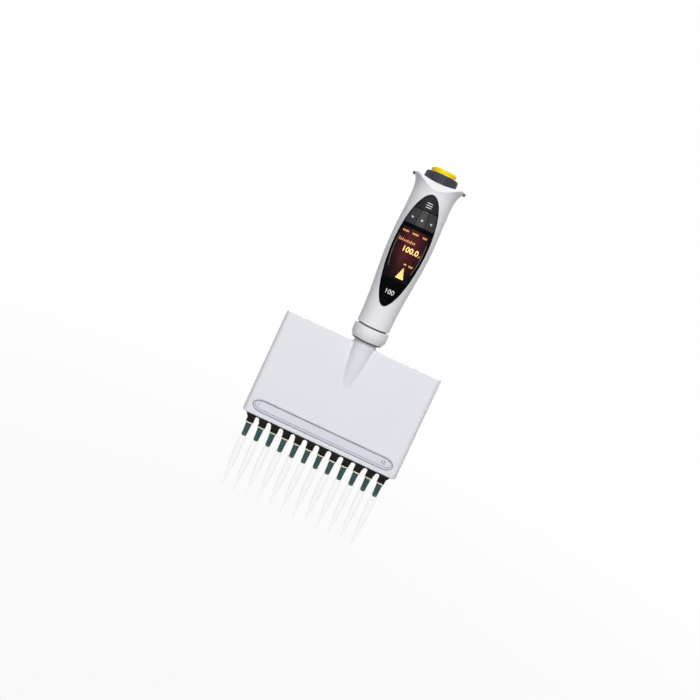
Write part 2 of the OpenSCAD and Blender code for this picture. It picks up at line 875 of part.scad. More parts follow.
module guide_places() {
    for (x = [-guide_x, guide_x]) translate([x, 0, 0]) children();
}

module cone_plate() {
    plate_half_d = half_depth(plate_top_z) - housing_wall - 0.1;
    color("#2f3136") difference() {
        translate([-inner_half_w + gap, -plate_half_d, housing_low_z])
            cube([2 * (inner_half_w - gap), 2 * plate_half_d, plate_t]);
        each_channel() translate([0, 0, housing_low_z - 1]) cylinder(r = cone_shank_r + 0.05, h = plate_t + 2);
        ejector_rod_places() translate([0, 0, housing_low_z - 1]) cylinder(r = rod_r + fit, h = plate_t + 2);
        lower_screw_places() cross_rod(0, 0, screw_shank_r + 0.02, lower_cap_y - 6.3, far);
    }
}

// Twelve cones: flange on the plate, shank through it, straight neck and a tapered, rounded end with an air bore
module tip_cones() {
    nose = 0.5;
    color("#17504f") each_channel() rotate_extrude() difference() {
        union() {
            translate([0, plate_top_z]) square([cone_flange_r, cone_flange_t]);
            translate([0, housing_low_z]) square([cone_shank_r, plate_t + 0.5]);
            polygon([[0, housing_low_z + 1], [cone_r, housing_low_z + 1], [cone_r, rim_z],
                [cone_end_r, cone_end_z + nose], [cone_end_r - nose, cone_end_z], [0, cone_end_z]]);
        }
        translate([0, cone_end_z - 1]) square([cone_bore_r, far]);
    }
}

module cylinder_block() {
    color("#c9ccd1") difference() {
        translate([-block_half_w, -block_half_d, block_low_z])
            cube([2 * block_half_w, 2 * block_half_d, block_h]);
        each_channel() translate([0, 0, block_low_z - 1]) cylinder(r = bore_r, h = block_h + 2);
        ejector_rod_places() {
            translate([0, 0, block_low_z - 1]) cylinder(r = rod_r + fit, h = block_h + 2);
            translate([0, 0, block_top_z - pocket_h]) cylinder(r = pocket_r, h = pocket_h + 1);
        }
        guide_places() translate([0, 0, guide_low_z]) cylinder(r = guide_r + 0.02, h = block_h);
    }
}

module piston_seals() {
    color("#34363a") each_channel() translate([0, 0, block_top_z]) difference() {
        cylinder(r = seal_r, h = seal_t);
        translate([0, 0, -1]) cylinder(r = piston_r + 0.04, h = seal_t + 2);
    }
}

module seal_retainer() {
    color("#9a9da3") difference() {
        translate([-retainer_half_w, -retainer_half_d, block_top_z])
            cube([2 * retainer_half_w, 2 * retainer_half_d, retainer_t]);
        each_channel() {
            translate([0, 0, block_top_z - 1]) cylinder(r = seal_r + 0.02, h = seal_t + 1);
            translate([0, 0, block_top_z]) cylinder(r = bore_r, h = retainer_t + 1);
        }
        ejector_rod_places() translate([0, 0, block_top_z - 1]) cylinder(r = pocket_r, h = retainer_t + 2);
        guide_places() translate([0, 0, block_top_z - 1]) cylinder(r = guide_r + 0.02, h = retainer_t + 2);
    }
}

module guide_rods() {
    color("silver") guide_places() translate([0, 0, guide_low_z]) cylinder(r = guide_r, h = guide_top_z - guide_low_z);
}

// The carriage that lifts all pistons, with a hub that holds the drive screw's head
module piston_plate() {
    head_space = screw_head_h + 2 * gap;
    color("#6f7278") difference() {
        union() {
            translate([-carriage_half_w, -carriage_half_d, carriage_low_z])
                cube([2 * carriage_half_w, 2 * carriage_half_d, piston_plate_t]);
            translate([0, 0, carriage_low_z]) cylinder(r = hub_r, h = hub_top_z - carriage_low_z);
        }
        translate([0, 0, carriage_top_z]) cylinder(r = screw_head_r + gap, h = head_space);
        translate([0, 0, carriage_top_z]) cylinder(r = screw_r + gap, h = far);
        guide_places() translate([0, 0, carriage_low_z - 1]) cylinder(r = guide_r + fit, h = piston_plate_t + 2);
    }
}

module pistons() {
    color("#d8dade") each_channel()
        translate([0, 0, piston_low_z]) cylinder(r = piston_r, h = carriage_low_z - piston_low_z);
}

// Bar with a collar around each cone, joined by arches, and ends that slant in towards the outer collars
module ejector_bar() {
    collar_low_z = rim_z + 0.1;
    bar_low_z = bar_top_z - bar_t;
    end_slant = 3;
    color("#15110c") difference() {
        union() {
            front_prism([[-bar_half_w, bar_top_z], [bar_half_w, bar_top_z], [bar_half_w - end_slant, bar_low_z],
                [end_slant - bar_half_w, bar_low_z]], -bar_half_d, bar_half_d);
            each_channel() translate([0, 0, collar_low_z])
                cylinder(r = collar_out_r, h = bar_top_z - collar_low_z - 0.5);
        }
        each_channel() translate([0, 0, collar_low_z - 1]) cylinder(r = collar_in_r, h = far);
        for (i = [0:channels - 2]) translate([channel_x(i) + pitch / 2, 0, 0]) {
            cross_rod(0, arch_z, arch_r, -far, far);
            translate([-arch_r, -far, bar_low_z - 1]) cube([2 * arch_r, 2 * far, arch_z - bar_low_z + 1]);
        }
    }
}

module ejector_rods() {
    color("#8a8d92") ejector_rod_places() {
        translate([0, 0, bar_top_z]) cylinder(r = rod_r, h = rod_top_z - bar_top_z);
        translate([0, 0, rod_top_z - rod_head_t]) cylinder(r = rod_head_r, h = rod_head_t);
    }
}

module ejector_springs() {
    color("silver") ejector_rod_places()
        coil(ejector_coil_r, ejector_wire, ejector_turns, block_top_z - pocket_h, rod_top_z - rod_head_t);
}

// One tip: a rim with short ribs under it, a long barrel that seats on the cone and a fine tapered point
tip_seat_r = cone_r + tip_seat;
tip_seat_end_r = cone_end_r + tip_seat;
tip_barrel_r = tip_seat_end_r + tip_wall + 0.2;
tip_mouth_r = 0.5;
barrel_share = 0.5;
tip_steps = 10;
barrel_end_z = rim_z - tip_l * barrel_share;
function tip_level(i) = tip_end_z + (barrel_end_z - tip_end_z) * i / tip_steps;
function tip_r(i) = tip_mouth_r + (tip_barrel_r - tip_mouth_r) * ease(i / tip_steps);
module tip(i) {
    outer = [for (k = [0:tip_steps]) [tip_r(k), tip_level(k)]];
    inner = [for (k = [tip_steps:-1:0]) [max(tip_r(k) - tip_wall, tip_bore_end_r), tip_level(k)]];
    rib_top_z = rim_z - tip_rim_h / 2;
    rib_low_z = rib_top_z - rib_l;
    rib_low_r = tip_barrel_r + rib_rise;
    color("white", 0.6) translate([channel_x(i), 0, 0]) {
        rotate_extrude() polygon(concat(outer, [[tip_seat_r + tip_wall, rim_z - tip_rim_h - 0.4],
            [tip_rim_r, rim_z - tip_rim_h], [tip_rim_r, rim_z], [tip_seat_r, rim_z], [tip_seat_end_r, cone_end_z]], inner));
        for (k = [0:tip_ribs - 1]) rotate([90, 0, 360 * (k + 0.5) / tip_ribs]) linear_extrude(rib_w, center = true)
            polygon([[tip_seat_r + 0.2, rib_top_z], [tip_rim_r - 0.05, rib_top_z], [rib_low_r, rib_low_z + 1],
                [tip_seat_end_r + 0.3, rib_low_z]]);
    }
}

handle_front_shell();
handle_rear_shell();
fascia_bezel();
display_window();
display_module();
tip_eject_key();
left_key();
middle_key();
right_key();
key_mat();
main_board();
battery();
charging_contacts();
control_dial();
dial_encoder();
start_button();
button_spring();
start_switch();
motor();
drive_screw();
swivel_bush();
swivel_collar();
handle_screws();
front_housing();
rear_housing();
label_strip();
swivel_spigot();
housing_screws();
cone_plate();
tip_cones();
cylinder_block();
piston_seals();
seal_retainer();
guide_rods();
piston_plate();
pistons();
ejector_bar();
ejector_rods();
ejector_springs();
for (i = [1:channels]) tip(i - 1);
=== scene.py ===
import json
import math

import bpy
from mathutils import Matrix, Vector


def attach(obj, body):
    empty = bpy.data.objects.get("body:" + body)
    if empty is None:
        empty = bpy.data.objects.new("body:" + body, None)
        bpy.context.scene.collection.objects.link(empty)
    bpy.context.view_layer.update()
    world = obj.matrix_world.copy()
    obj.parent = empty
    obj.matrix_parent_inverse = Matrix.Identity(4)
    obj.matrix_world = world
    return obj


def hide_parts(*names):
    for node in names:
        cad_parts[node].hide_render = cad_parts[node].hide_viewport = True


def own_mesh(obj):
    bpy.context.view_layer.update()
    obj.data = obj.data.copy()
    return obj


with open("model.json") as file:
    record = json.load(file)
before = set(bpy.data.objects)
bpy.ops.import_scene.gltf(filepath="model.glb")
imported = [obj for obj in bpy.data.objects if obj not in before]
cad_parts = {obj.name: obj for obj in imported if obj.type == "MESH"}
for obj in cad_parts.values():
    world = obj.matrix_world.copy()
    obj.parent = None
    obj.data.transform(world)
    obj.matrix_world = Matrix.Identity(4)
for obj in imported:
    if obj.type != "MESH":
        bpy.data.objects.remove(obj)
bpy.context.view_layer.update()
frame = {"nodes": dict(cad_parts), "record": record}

scene = bpy.context.scene
nodes = frame["nodes"]
mm = 0.001
print("frame loaded:", len(nodes), "nodes")


# camera, worked out from the housing and the row of tips in the photograph

cameraSetup = {
    "lens": 42.0,
    "sensor": 36,
    "clip": (0.01, 50),
    "aim": -119.8 * mm,      # level on the pipette's axis behind the picture's middle
    "distance": 549 * mm,
    "elevation": 8.66,       # degrees above the horizon
    "azimuth": 1.2,          # degrees round to the right
    "roll": 24.75,           # degrees the pipette leans to the right
    "aside": 7.43 * mm,      # the axis stands this far right of the picture's middle
}


def placeCamera(setup):
    elevation = math.radians(setup["elevation"])
    azimuth = math.radians(setup["azimuth"])
    roll = math.radians(setup["roll"])
    level = Vector((math.cos(azimuth), math.sin(azimuth), 0))
    inwards = Vector((-math.sin(azimuth), math.cos(azimuth), 0))
    ahead = inwards * math.cos(elevation) - Vector((0, 0, math.sin(elevation)))
    upright = inwards * math.sin(elevation) + Vector((0, 0, math.cos(elevation)))
    right = level * math.cos(roll) + upright * math.sin(roll)
    up = upright * math.cos(roll) - level * math.sin(roll)
    spot = Vector((0, 0, setup["aim"])) - ahead * setup["distance"] - level * setup["aside"]
    lensData = bpy.data.cameras.new("camera")
    lensData.lens = setup["lens"]
    lensData.sensor_width = setup["sensor"]
    lensData.clip_start, lensData.clip_end = setup["clip"]
    eye = bpy.data.objects.new("camera", lensData)
    scene.collection.objects.link(eye)
    turn = Matrix((right, up, -ahead)).transposed()
    eye.matrix_world = Matrix.Translation(spot) @ turn.to_4x4()
    scene.camera = eye


placeCamera(cameraSetup)
print("camera placed")


# shader maths: a socket that adds Math nodes when it is used in an expression

class Wire:
    def __init__(self, tree, socket):
        self.tree = tree
        self.socket = socket

    def node(self, kind, settings=None, sockets=None, out=0):
        made = self.tree.nodes.new(kind)
        for name, value in (settings or {}).items():
            setattr(made, name, value)
        for name, value in (sockets or {}).items():
            if isinstance(value, Wire):
                self.tree.links.new(value.socket, made.inputs[name])
            else:
                made.inputs[name].default_value = value
        return Wire(self.tree, made.outputs[out])

    def maths(self, operation, second=0):
        return self.node("ShaderNodeMath", {"operation": operation}, {0: self, 1: second})

    def noise(self, scale, detail=2.0):
        return self.node("ShaderNodeTexNoise", None, {"Vector": self, "Scale": scale, "Detail": detail})

    def blend(self, none, full):
        return self.node("ShaderNodeMix", {"data_type": "RGBA"}, {0: self, 6: none, 7: full}, 2)

    def spread(self, middle, width):
        return middle + (self - 0.5) * width

    def __add__(self, other):
        return self.maths("ADD", other)

    def __radd__(self, other):
        return self.maths("ADD", other)

    def __sub__(self, other):
        return self.maths("SUBTRACT", other)

    def __rsub__(self, other):
        return self.node("ShaderNodeMath", {"operation": "SUBTRACT"}, {0: other, 1: self})

    def __mul__(self, other):
        return self.maths("MULTIPLY", other)


# a hex colour as the straight values that a shader takes
def colour(hexText):
    parts = [int(hexText[i:i + 2], 16) / 255 for i in (1, 3, 5)]
    straight = [p / 12.92 if p <= 0.04045 else ((p + 0.055) / 1.055) ** 2.4 for p in parts]
    return (*straight, 1)


def newMaterial(name):
    material = bpy.data.materials.new(name)
    material.use_nodes = True
    tree = material.node_tree
    shader = tree.nodes["Principled BSDF"]
    place = Wire(tree, tree.nodes.new("ShaderNodeTexCoord").outputs["Object"])
    return material, tree, shader, place


def feed(tree, shader, inputs):
    for name, value in inputs.items():
        if isinstance(value, Wire):
            tree.links.new(value.socket, shader.inputs[name])
        else:
            shader.inputs[name].default_value = value


# moulded plastic: a faint cloud in the colour, a fine spark-eroded grain in the gloss and the surface
plasticSetup = {
    "cloudDetail": 3.0,
    "grain": 900.0,
    "grainDepth": 0.02,
    "grainReach": 0.2 * mm,
    "glossSpread": 0.12,
}


def mouldedPlastic(name, tint, shade, roughness, cloud=35, specular=0.5):
    setup = plasticSetup
    material, tree, shader, place = newMaterial(name)
    clouds = place.noise(cloud, setup["cloudDetail"])
    fine = place.noise(setup["grain"])
    bump = place.node("ShaderNodeBump", None, {"Strength": setup["grainDepth"], "Distance": setup["grainReach"],
                                               "Height": fine})
    feed(tree, shader, {"Base Color": clouds.blend(colour(shade), colour(tint)), "Normal": bump,
                        "Roughness": fine.spread(roughness, setup["glossSpread"]),
                        "Specular IOR Level": specular})
    return material


# dark display glass with a warm glow behind the figures, fading out below and to the sides
glassSetup = {
    "middle": -40 * mm,
    "reach": (11 * mm, 1.0, 21 * mm),    # how far the glow spreads along x and z
    "fade": (0.35, 1.1),                 # shares of that reach between which it dies away
    "patches": 160.0,
    "patchDrift": 0.5,
    "glow": "#4a1c22",
    "dark": "#0c080b",
    "glossSpread": 0.05,
    "specular": 0.06,
}


def displayGlass(name, roughness):
    setup = glassSetup
    material, tree, shader, place = newMaterial(name)
    centred = place.node("ShaderNodeMapping", {"vector_type": "TEXTURE"},
                         {"Vector": place, "Location": (0, 0, setup["middle"]), "Scale": setup["reach"]})
    away = place.node("ShaderNodeVectorMath", {"operation": "LENGTH"}, {0: centred}, 1)
    patches = place.noise(setup["patches"])
    full, none = setup["fade"]
    glow = place.node("ShaderNodeMapRange", None,
                      {0: patches.spread(away, setup["patchDrift"]), 1: full, 2: none, 3: 1.0, 4: 0.0})
    feed(tree, shader, {"Base Color": glow.blend(colour(setup["dark"]), colour(setup["glow"])),
                        "Roughness": patches.spread(roughness, setup["glossSpread"]),
                        "Specular IOR Level": setup["specular"]})
    return material


# turned or drawn metal: fine streaks along the pipette's axis
metalSetup = {
    "streaks": (1800, 1800, 60),
    "detail": 4.0,
    "glossSpread": 0.2,
}


def workedMetal(name, tint, shade, roughness):
    setup = metalSetup
    material, tree, shader, place = newMaterial(name)
    stretched = place.node("ShaderNodeMapping", None, {"Vector": place, "Scale": setup["streaks"]})
    streaks = stretched.noise(1.0, setup["detail"])
    feed(tree, shader, {"Base Color": streaks.blend(colour(shade), colour(tint)),
                        "Roughness": streaks.spread(roughness, setup["glossSpread"]), "Metallic": 1.0})
    return material


# charging stud: bare metal outside the ear, plastic moulded over its root
contactSetup = {
    "bare": 16.95 * mm,      # from here outwards along x
    "cover": "#ecebf0",
    "coverGloss": 0.36,
    "streaks": 700.0,
    "detail": 3.0,
    "glossSpread": 0.1,
}


def contactMetal(name, tint, shade, roughness):
    setup = contactSetup
    material, tree, shader, place = newMaterial(name)
    streaks = place.noise(setup["streaks"], setup["detail"])
    aside = place.node("ShaderNodeSeparateXYZ", None, {0: place})
    bare = aside.maths("ABSOLUTE").maths("GREATER_THAN", setup["bare"])
    metal = streaks.blend(colour(shade), colour(tint))
    cover = setup["coverGloss"]
    feed(tree, shader, {"Base Color": bare.blend(colour(setup["cover"]), metal), "Metallic": bare,
                        "Roughness": streaks.spread(bare * (roughness - cover) + cover, setup["glossSpread"])})
    return material


# natural polypropylene: clear over the cone, milkier below it, denser at the rim and where a wall is edge on
tipSetup = {
    "rimLow": -194.8 * mm,
    "milkTop": -202.0 * mm,
    "milkFull": -207.0 * mm,
    "clear": 0.012,          # share of each wall that is milk and not see-through
    "milk": 0.052,
    "edge": 0.22,
    "edgeBlend": 0.35,
    "rim": 0.85,
    "flow": 120.0,
    "gloss": 0.3,
    "glossSpread": 0.1,
}


def tipPlastic(name, tint, shade, cream):
    setup = tipSetup
    material, tree, shader, place = newMaterial(name)
    flow = place.noise(setup["flow"])
    height = place.node("ShaderNodeSeparateXYZ", None, {0: place}, 2)
    rim = height.maths("GREATER_THAN", setup["rimLow"])
    milky = place.node("ShaderNodeMapRange", None, {0: height, 1: setup["milkTop"], 2: setup["milkFull"],
                                                    3: setup["clear"], 4: setup["milk"]})
    edge = place.node("ShaderNodeLayerWeight", None, {"Blend": setup["edgeBlend"]}, 1)
    wall = milky + edge * edge * setup["edge"]
    tone = flow.blend(colour(shade), colour(tint))
    feed(tree, shader, {"Base Color": rim.blend(tone, colour(cream)),
                        "Alpha": wall + rim * (setup["rim"] - wall),
                        "Roughness": flow.spread(setup["gloss"], setup["glossSpread"])})
    return material


# lit display segments, and dim lit streaks that are painted reflections
segmentSetup = {
    "ripple": 400.0,
    "gloss": 0.5,
}


def litMark(name, tint, shade, strength):
    material, tree, shader, place = newMaterial(name)
    glow = place.noise(segmentSetup["ripple"]).blend(colour(shade), colour(tint))
    feed(tree, shader, {"Base Color": glow, "Roughness": segmentSetup["gloss"], "Emission Color": glow,
                        "Emission Strength": strength})
    return material


# by material slot: name, two colours and roughness
finishes = {
    "shell": mouldedPlastic("handleShell", "#eeedf2", "#e9e8ee", 0.36, specular=0.3),
    "housing": mouldedPlastic("housingShell", "#e6e7ed", "#e1e2e8", 0.38, specular=0.3),
    "fascia": mouldedPlastic("fasciaBlack", "#070608", "#040305", 0.34, specular=0.02),
    "window": displayGlass("displayGlass", 0.2),
    "keycap": mouldedPlastic("keyGrey", "#2b2a2d", "#232225", 0.4, specular=0.3),
    "dial": mouldedPlastic("dialSlate", "#363441", "#2e2c38", 0.45, cloud=300, specular=0.3),
    "button": mouldedPlastic("buttonYellow", "#ffdf00", "#fdd800", 0.42, specular=0.25),
    "contact": contactMetal("contactBronze", "#755b40", "#241a12", 0.28),
    "board": mouldedPlastic("boardGreen", "#1c5a38", "#184f31", 0.4),
    "dark_plastic": mouldedPlastic("darkMoulding", "#6d6d74", "#63636a", 0.5),
    "rubber": mouldedPlastic("greyRubber", "#4a4a4e", "#444448", 0.7),
    "battery": mouldedPlastic("batteryWrap", "#3b5f8a", "#35557c", 0.35),
    "steel": workedMetal("groundSteel", "#c8cacd", "#b0b2b6", 0.25),
    "aluminium": workedMetal("milledAluminium", "#c4c6ca", "#b2b4b8", 0.32),
    "motor": workedMetal("motorCan", "#909399", "#7c7f85", 0.4),
    "block": mouldedPlastic("blockPlastic", "#c9ccd1", "#c0c3c8", 0.3),
    "strip": mouldedPlastic("stripSatin", "#d9dce6", "#d3d6e1", 0.34),
    "cone": mouldedPlastic("coneTeal", "#0b4a46", "#073a3d", 0.34, cloud=420, specular=0.3),
    "ejector": mouldedPlastic("ejectorBlack", "#15110d", "#100c09", 0.45, specular=0.15),
    "tip": tipPlastic("tipMilky", "#fdfdfa", "#f7f7f3", "#fff9e2"),
}
marks = {
    "amber": litMark("amberSegment", "#ffd890", "#f5bd68", 0.9),
    "soft": litMark("amberSmall", "#d89a5c", "#c07f44", 0.6),
    # painted reflection: dim lit streaks along the sides of the display glass
    "paintedStreak": litMark("paintedReflectionStreak", "#6e625c", "#5c524d", 0.3),
    "white": mouldedPlastic("printWhite", "#e8e8ea", "#dcdce0", 0.5),
    # dark finish for painted shade: the lines and rings that stand for shadows in grooves and gaps
    "paintedShade": mouldedPlastic("paintedShadeGrey", "#3d3f48", "#34363f", 0.6),
    "ejectCap": mouldedPlastic("ejectKeyBlack", "#1b1a1d", "#141316", 0.4, specular=0.15),
    "grey": mouldedPlastic("printGrey", "#6d7080", "#626575", 0.5),
}


def dressNodes():
    for part in frame["record"]["subparts"]:
        mesh = nodes[part["node"]].data
        mesh.materials.clear()
        mesh.materials.append(finishes[part["material_slot"]])


dressNodes()
print("finishes on:", len(finishes))


# helpers for pieces that start from a solid

solidSetup = {
    "weld": 0.002 * mm,
    "flat": 0.5,             # degrees under which two faces count as one
    "smooth": 35,            # degrees under which an edge is shaded smooth
}


def deselect():
    bpy.ops.object.select_all(action="DESELECT")


def select(piece):
    deselect()
    bpy.context.view_layer.objects.active = piece
    piece.select_set(True)


def joined(pieces):
    deselect()
    for piece in pieces:
        piece.select_set(True)
    bpy.context.view_layer.objects.active = pieces[0]
    if len(pieces) > 1:
        bpy.ops.object.join()
    return pieces[0]


def applyModifiers(piece):
    select(piece)
    for modifier in list(piece.modifiers):
        bpy.ops.object.modifier_apply(modifier=modifier.name)


def copyNode(node, name):
    piece = bpy.data.objects.new(name, nodes[node].data.copy())
    scene.collection.objects.link(piece)
    select(piece)
    bpy.ops.object.mode_set(mode="EDIT")
    bpy.ops.mesh.select_all(action="SELECT")
    bpy.ops.mesh.remove_doubles(threshold=solidSetup["weld"])
    bpy.ops.mesh.dissolve_limited(angle_limit=math.radians(solidSetup["flat"]))
    bpy.ops.object.mode_set(mode="OBJECT")
    return piece


# round the edges that are sharper than an angle in degrees
def soften(piece, width, segments, angle):
    bevel = piece.modifiers.new("edges", "BEVEL")
    bevel.width = width
    bevel.segments = segments
    bevel.limit_method = "ANGLE"
    bevel.angle_limit = math.radians(angle)
    bevel.use_clamp_overlap = True
    applyModifiers(piece)
    bpy.ops.object.shade_smooth_by_angle(angle=math.radians(solidSetup["smooth"]))


def handOver(piece, node, body):
    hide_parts(node)
    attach(piece, body)


def paint(piece, material):
    piece.data.materials.clear()
    piece.data.materials.append(material)


# numbered pad on the housing: its face is set high, so the sloping rim is broad below; a fine ring round the
# face is painted dark, painted shade for a groove's shadow
padSetup = {
    "rim": 0.9 * mm,
    "rise": 0.3 * mm,
    "high": 0.68 * mm,       # how far the face is set above the pad's middle
    "line": 0.24 * mm,
    "round": 0.1 * mm,
    "sharp": 16,
    "facing": (0, -0.993, 0.117),
    "upward": (0, 0.117, 0.993),
    "front": 0.98,           # how closely a face has to look that way to belong to the front
    "level": 0.9985,         # and to the face and the line on it
}


def selectFront(piece):
    facing = Vector(padSetup["facing"])
    select(piece)
    bpy.ops.object.mode_set(mode="EDIT")
    bpy.ops.mesh.select_all(action="DESELECT")
    bpy.ops.mesh.select_mode(type="FACE")
    bpy.ops.object.mode_set(mode="OBJECT")
    for face in piece.data.polygons:
        face.select = face.normal.dot(facing) > padSetup["front"]
    bpy.ops.object.mode_set(mode="EDIT")


def makePad(setup):
    facing, upward = Vector(setup["facing"]), Vector(setup["upward"])
    piece = copyNode("label_strip", "numberPad")
    selectFront(piece)
    bpy.ops.mesh.inset(thickness=setup["rim"], use_even_offset=True)
    bpy.ops.transform.translate(value=facing * setup["rise"] + upward * setup["high"])
    bpy.ops.mesh.inset(thickness=setup["line"], use_even_offset=True)
    bpy.ops.object.mode_set(mode="OBJECT")
    # the narrow ring round the raised face gets the dark finish: painted shade
    piece.data.materials.append(marks["paintedShade"])
    for face in piece.data.polygons:
        if face.normal.dot(facing) > setup["level"] and not face.select:
            face.material_index = 1
    soften(piece, setup["round"], 2, setup["sharp"])
    handOver(piece, "label_strip", "lower_module")
    return piece


# thin dark sheet in the groove round the pad: painted shade for the groove's shadow
grooveShadeSetup = {
    "middle": (0, -10.77 * mm, -178.1 * mm),     # the pad's middle
    "half": (51.3 * mm, 3.8 * mm),               # half its length and height
    "width": 0.26 * mm,
    "sunk": 0.05 * mm,
    "thick": 0.1 * mm,
}


def makeGrooveShade(setup):
    piece = copyNode("label_strip", "padGrooveShade")
    selectFront(piece)
    bpy.ops.mesh.select_all(action="INVERT")
    bpy.ops.mesh.delete(type="FACE")
    bpy.ops.mesh.select_all(action="SELECT")
    along, across = (1 + setup["width"] / half for half in setup["half"])
    bpy.ops.transform.resize(value=(along, across, across), center_override=setup["middle"])
    bpy.ops.mesh.inset(thickness=setup["width"], use_even_offset=True)
    bpy.ops.mesh.delete(type="FACE")
    bpy.ops.mesh.select_all(action="SELECT")
    bpy.ops.transform.translate(value=Vector(padSetup["facing"]) * -setup["sunk"])
    bpy.ops.object.mode_set(mode="OBJECT")
    skin = piece.modifiers.new("skin", "SOLIDIFY")
    skin.thickness = setup["thick"]
    applyModifiers(piece)
    # dark finish on the sheet: painted shade
    paint(piece, marks["paintedShade"])
    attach(piece, "lower_module")


# swivel collar with a rounded upper edge, and a dark ring under it: painted shade for the gap between collar
# and neck
collarSetup = {
    "round": 0.7 * mm,
    "low": -108.8 * mm,
    "ring": (8.5 * mm, 10.45 * mm),      # inside and outside radius
    "ringHigh": 0.8 * mm,
    "ringRound": 0.15 * mm,
    "ringSides": 72,
    "sharp": 60,
}


def makeCollar(setup):
    piece = copyNode("swivel_collar", "collarRounded")
    soften(piece, setup["round"], 3, setup["sharp"])
    handOver(piece, "swivel_collar", "handle")
    inside, outside = setup["ring"]
    deselect()
    bpy.ops.mesh.primitive_circle_add(vertices=setup["ringSides"], radius=outside, fill_type="NGON",
                                      location=(0, 0, setup["low"]))
    ring = bpy.context.object
    ring.name = "collarGapShade"
    bpy.ops.object.transform_apply(location=True)
    bpy.ops.object.mode_set(mode="EDIT")
    bpy.ops.mesh.select_mode(type="FACE")
    bpy.ops.mesh.select_all(action="SELECT")
    bpy.ops.mesh.inset(thickness=outside - inside)
    bpy.ops.mesh.delete(type="FACE")
    bpy.ops.object.mode_set(mode="OBJECT")
    deep = ring.modifiers.new("deep", "SOLIDIFY")
    deep.thickness = setup["ringHigh"]
    deep.offset = -1
    applyModifiers(ring)
    soften(ring, setup["ringRound"], 2, setup["sharp"])
    # dark finish on the ring: painted shade
    ring.data.materials.append(marks["paintedShade"])
    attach(ring, "handle")


# keys with rounded edges
keyEdgeSetup = {
    "round": 0.22 * mm,
    "sharp": 50,
    "keys": (("tip_eject_key", "eject_key"), ("left_key", "soft_key_left"), ("middle_key", "soft_key_middle"),
             ("right_key", "soft_key_right")),
}


def makeKeys(setup):
    caps = {}
    for node, body in setup["keys"]:
        piece = copyNode(node, node + "_cap")
        soften(piece, setup["round"], 2, setup["sharp"])
        if node == "tip_eject_key":
            piece.data.materials[0] = marks["ejectCap"]
        handOver(piece, node, body)
        caps[node] = piece
    return caps


# screws with a hexagon socket in each head
screwSetup = {
    "sets": (("housing_screws", "lower_module", "steel"), ("handle_screws", "handle", "steel")),
    "socket": 0.95 * mm,     # from its middle to a corner
    "deep": 0.8 * mm,
    "round": 0.15 * mm,
    "sharp": 60,
    "apart": 5 * mm,         # cells that tell the screws from each other
    "level": 0.01 * mm,      # points this close to the end belong to the head's face
}


def headMiddles(piece, setup):
    cells = {}
    for vertex in piece.data.vertices:
        cell = (round(vertex.co.x / setup["apart"]), round(vertex.co.z / setup["apart"]))
        cells.setdefault(cell, []).append(vertex.co.copy())
    heads = {}
    for spots in cells.values():
        end = max(spot.y for spot in spots)
        ring = [spot for spot in spots if spot.y > end - setup["level"]]
        middle = sum(ring, Vector()) / len(ring)
        heads[tuple(round(v, 4) for v in middle)] = middle
    return heads.values()


def makeScrews(setup):
    for node, body, slotName in setup["sets"]:
        piece = copyNode(node, node + "_socketed")
        cutters = []
        for middle in headMiddles(piece, setup):
            deselect()
            bpy.ops.mesh.primitive_cylinder_add(vertices=6, radius=setup["socket"], depth=2 * setup["deep"],
                                                location=middle, rotation=(math.pi / 2, 0, 0))
            cutters.append(bpy.context.object)
        cutter = joined(cutters)
        bpy.ops.object.transform_apply(location=True, rotation=True, scale=True)
        socket = piece.modifiers.new("socket", "BOOLEAN")
        socket.operation = "DIFFERENCE"
        socket.solver = "EXACT"
        socket.object = cutter
        applyModifiers(piece)
        bpy.data.objects.remove(cutter)
        soften(piece, setup["round"], 2, setup["sharp"])
        handOver(piece, node, body)


# coil springs, copied and shaded smooth
springSetup = {
    "smooth": 50,
    "springs": (
        # node, body, joint, held end, length, stroke
        ("button_spring", "handle", "start_press", -3.45 * mm, 13.5 * mm, 2.0 * mm),
        ("ejector_springs", "lower_module", "ejector_slide", -167.6 * mm, 13.3 * mm, 5.5 * mm),
    ),
}


def makeSprings(setup):
    for node, body, joint, held, length, stroke in setup["springs"]:
        piece = copyNode(node, node + "_coil")
        bpy.ops.object.shade_smooth_by_angle(angle=math.radians(setup["smooth"]))
        handOver(piece, node, body)
        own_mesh(piece)


numberPad = makePad(padSetup)
makeGrooveShade(grooveShadeSetup)
makeCollar(collarSetup)
keyCaps = makeKeys(keyEdgeSetup)
makeScrews(screwSetup)
makeSprings(springSetup)
print("pad, keys, screws and springs shaped")


# flat marks: drawn upright in front of the pipette, laid onto a surface and given a skin's thickness

markSetup = {
    "front": -60 * mm,       # where a mark is drawn before it is laid on
    "weld": 0.01 * mm,
    "lift": 0.02 * mm,
    "skin": 0.05 * mm,
    "capital": 0.7,          # a capital's height as a share of the type's size
    "bold": 0.02,            # what the type's outline gains, as a share of its height
}


def layOn(piece, under, body, material, cuts=2):
    select(piece)
    bpy.ops.object.transform_apply(location=True, rotation=True, scale=True)
    bpy.ops.object.mode_set(mode="EDIT")
    bpy.ops.mesh.select_all(action="SELECT")
    bpy.ops.mesh.remove_doubles(threshold=markSetup["weld"])
    bpy.ops.mesh.quads_convert_to_tris()
    bpy.ops.mesh.subdivide(number_cuts=cuts)
    bpy.ops.object.mode_set(mode="OBJECT")
    wrap = piece.modifiers.new("wrap", "SHRINKWRAP")
    wrap.target = nodes[under] if isinstance(under, str) else under
    wrap.wrap_method = "PROJECT"
    wrap.use_project_y = True
    wrap.use_positive_direction = True
    wrap.use_negative_direction = False
    wrap.offset = markSetup["lift"]
    skin = piece.modifiers.new("skin", "SOLIDIFY")
    skin.thickness = markSetup["skin"]
    skin.offset = 0
    applyModifiers(piece)
    paint(piece, material)
    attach(piece, body)


